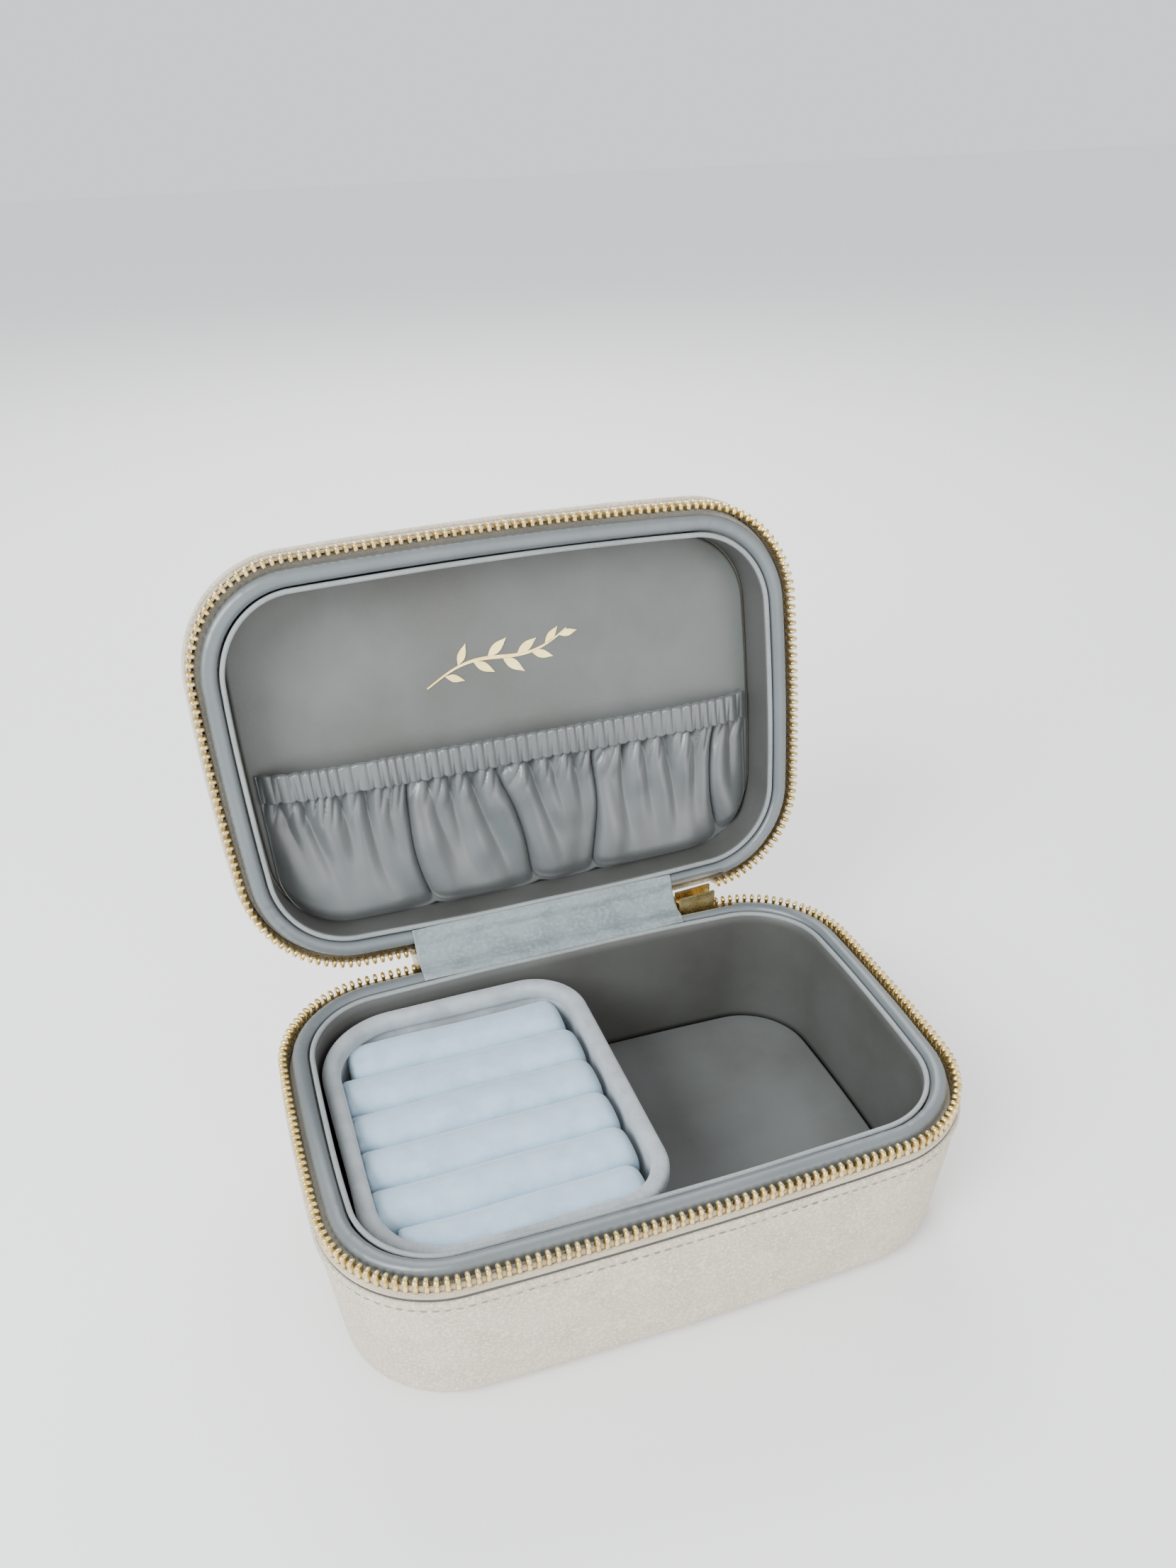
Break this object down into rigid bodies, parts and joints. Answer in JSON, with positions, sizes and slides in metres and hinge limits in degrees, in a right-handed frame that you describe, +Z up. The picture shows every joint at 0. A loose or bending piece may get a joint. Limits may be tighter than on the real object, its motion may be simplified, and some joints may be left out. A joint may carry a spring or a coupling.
{
  "type": "zip-around jewellery case",
  "caption": "Soft zip-around travel jewellery case with a hinged lid, gathered lid pocket, lift-out ring tray and an open compartment.",
  "frame": {"origin": "centre of the base's flat underside, on the surface it stands on", "axes": "+Z up, +X to the right seen from the front, -Y towards the front (the hinge is at +Y)"},
  "size_m": [0.18, 0.1662, 0.1722],
  "materials": {
    "cover_fabric": "heathered beige fabric with a fine nap",
    "edge_fabric": "turned fabric edge",
    "tape": "woven zip tape",
    "zip_metal": "pale polished gold",
    "lining": "smooth grey leatherette",
    "panel": "smooth taupe-grey leatherette",
    "satin": "grey-blue satin",
    "piping": "thin piped edge",
    "velvet": "pale blue-grey velvet",
    "board": "grey board",
    "foam": "white padding"
  },
  "bodies": {
    "base": {"base_outer_cover": "cover_fabric", "base_bottom_board": "board", "base_floor_pad": "panel", "base_padded_wall": "foam", "base_lining": "lining", "base_collar": "satin", "base_piping": "piping", "base_edge_binding": "edge_fabric", "base_zip_tape": "tape", "base_zip_teeth": "zip_metal", "base_zip_top_stop": "zip_metal", "hinge_strip_base": "satin"},
    "lid": {"lid_outer_cover": "cover_fabric", "lid_top_board": "board", "lid_back_panel": "panel", "lid_padded_wall": "foam", "lid_lining": "lining", "lid_collar": "satin", "lid_piping": "piping", "lid_edge_binding": "edge_fabric", "lid_zip_tape": "tape", "lid_zip_teeth": "zip_metal", "lid_zip_top_stop": "zip_metal", "lid_pocket": "satin", "lid_pocket_elastic": "satin", "hinge_strip_lid": "satin"},
    "zip_slider": {"zip_slider": "zip_metal", "zip_slider_bail": "zip_metal"},
    "zip_ring": {"zip_pull_ring": "zip_metal"},
    "zip_pull": {"zip_pull_tab": "zip_metal"},
    "ring_tray": {"tray_shell": "velvet", "tray_foam_bed": "foam", "tray_rim_roll": "velvet", "ring_roll_1": "velvet", "ring_roll_2": "velvet", "ring_roll_3": "velvet", "ring_roll_4": "velvet", "ring_roll_5": "velvet", "ring_roll_6": "velvet"}
  },
  "joints": [
    {"name": "lid_hinge", "type": "hinge", "parent": "base", "child": "lid", "pos_m": [0, 0.0611, 0.053], "axis": [-1, 0, 0], "range_deg": [-102, 8]},
    {"name": "tray_lift", "type": "slide", "parent": "base", "child": "ring_tray", "axis": [0, 0, 1], "range_m": [0, 0.014]},
    {"name": "zip_slide", "type": "slide", "parent": "base", "child": "zip_slider", "axis": [1, 0, 0], "range_m": [0, 0.0024]},
    {"name": "ring_swing", "type": "hinge", "parent": "zip_slider", "child": "zip_ring", "pos_m": [0.0496, 0.06363, 0.053], "axis": [1, 0, 0], "range_deg": [-2, 35]},
    {"name": "tab_swing", "type": "hinge", "parent": "zip_ring", "child": "zip_pull", "pos_m": [0.0496, 0.06363, 0.0504], "axis": [1, 0, 0], "range_deg": [0, 12]}
  ]
}
